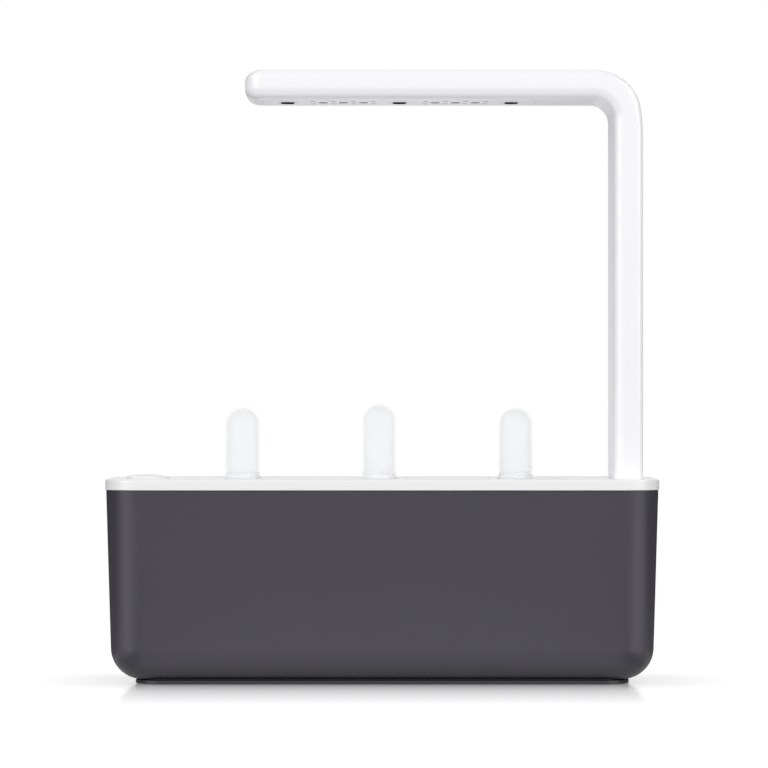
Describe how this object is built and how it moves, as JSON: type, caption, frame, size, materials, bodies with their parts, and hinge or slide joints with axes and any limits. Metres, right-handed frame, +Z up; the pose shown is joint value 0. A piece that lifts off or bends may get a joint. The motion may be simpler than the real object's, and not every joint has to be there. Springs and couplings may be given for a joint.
{
  "type": "countertop hydroponic garden",
  "caption": "Countertop hydroponic garden: a long self-watering tank with a lid, plant pods under clear domes, a water-level float and a grow lamp on a bent plug-in arm.",
  "frame": {"origin": "middle of the footprint, on the surface that the feet stand on", "axes": "+X along the tank towards the lamp's column, +Y to the back wall that holds the power inlet, +Z up"},
  "size_m": [0.3006, 0.125, 0.3338],
  "materials": {
    "charcoal_plastic": "fine satin moulded ABS",
    "white_plastic": "polished white ABS",
    "frosted_plastic": "frosted translucent polypropylene",
    "black_plastic": "moulded black nylon",
    "rubber": "matte black rubber",
    "steel": "zinc-plated steel",
    "black_steel": "black zinc-plated steel",
    "brass": "plain brass",
    "wire": "red insulated wire",
    "float_foam": "closed-cell white foam",
    "wick_felt": "undyed cotton felt",
    "pod_fibre": "pressed coconut fibre",
    "soil": "crumbly peat",
    "board": "white solder mask",
    "white_light": "yellow phosphor light",
    "red_light": "clear red light"
  },
  "bodies": {
    "tank": {"water_tank": "charcoal_plastic", "base_plate": "charcoal_plastic", "rubber_feet": "rubber", "base_screws": "steel", "power_inlet": "black_plastic", "inlet_pin": "steel", "base_connector": "black_plastic", "base_contacts": "brass", "connector_screws": "steel", "base_harness": "wire"},
    "lid": {"lid": "white_plastic", "float_guide": "white_plastic", "guide_screws": "steel"},
    "float": {"float_cap": "white_plastic", "float_stem": "white_plastic", "float_bob": "float_foam"},
    "cup_left": {"pod_cup_left": "white_plastic", "wick_left": "wick_felt"},
    "cup_middle": {"pod_cup_middle": "white_plastic", "wick_middle": "wick_felt"},
    "cup_right": {"pod_cup_right": "white_plastic", "wick_right": "wick_felt"},
    "pod_left": {"plant_pod_left": "pod_fibre", "soil_plug_left": "soil"},
    "pod_middle": {"plant_pod_middle": "pod_fibre", "soil_plug_middle": "soil"},
    "pod_right": {"plant_pod_right": "pod_fibre", "soil_plug_right": "soil"},
    "dome_left": {"germination_dome_left": "frosted_plastic"},
    "dome_middle": {"germination_dome_middle": "frosted_plastic"},
    "dome_right": {"germination_dome_right": "frosted_plastic"},
    "extension": {"extension_arm": "white_plastic", "extension_plug": "black_plastic", "extension_socket": "black_plastic", "extension_contacts": "brass", "extension_lead": "wire"},
    "lamp": {"lamp_arm": "white_plastic", "lamp_panel": "white_plastic", "lamp_screws": "black_steel", "led_board": "board", "white_leds": "white_light", "red_leds": "red_light", "lamp_plug": "black_plastic", "lamp_contacts": "brass", "lamp_lead": "wire", "timer_board": "board"}
  },
  "joints": [
    {"name": "lid_lift", "type": "slide", "parent": "tank", "child": "lid", "axis": [0, 0, 1], "range_m": [0, 0.045]},
    {"name": "float_rise", "type": "slide", "parent": "lid", "child": "float", "axis": [0, 0, 1], "range_m": [-0.024, 0], "stiffness_N_per_m": 20, "springref_m": 0.015},
    {"name": "cup_lift_left", "type": "slide", "parent": "lid", "child": "cup_left", "axis": [0, 0, 1], "range_m": [0, 0.05]},
    {"name": "cup_lift_middle", "type": "slide", "parent": "lid", "child": "cup_middle", "axis": [0, 0, 1], "range_m": [0, 0.05]},
    {"name": "cup_lift_right", "type": "slide", "parent": "lid", "child": "cup_right", "axis": [0, 0, 1], "range_m": [0, 0.05]},
    {"name": "pod_lift_left", "type": "slide", "parent": "cup_left", "child": "pod_left", "axis": [0, 0, 1], "range_m": [0, 0.044]},
    {"name": "pod_lift_middle", "type": "slide", "parent": "cup_middle", "child": "pod_middle", "axis": [0, 0, 1], "range_m": [0, 0.044]},
    {"name": "pod_lift_right", "type": "slide", "parent": "cup_right", "child": "pod_right", "axis": [0, 0, 1], "range_m": [0, 0.044]},
    {"name": "dome_lift_left", "type": "slide", "parent": "pod_left", "child": "dome_left", "axis": [0, 0, 1], "range_m": [0, 0.02]},
    {"name": "dome_lift_middle", "type": "slide", "parent": "pod_middle", "child": "dome_middle", "axis": [0, 0, 1], "range_m": [0, 0.02]},
    {"name": "dome_lift_right", "type": "slide", "parent": "pod_right", "child": "dome_right", "axis": [0, 0, 1], "range_m": [0, 0.02]},
    {"name": "extension_lift", "type": "slide", "parent": "tank", "child": "extension", "axis": [0, 0, 1], "range_m": [0, 0.055]},
    {"name": "lamp_lift", "type": "slide", "parent": "extension", "child": "lamp", "axis": [0, 0, 1], "range_m": [0, 0.035]}
  ]
}
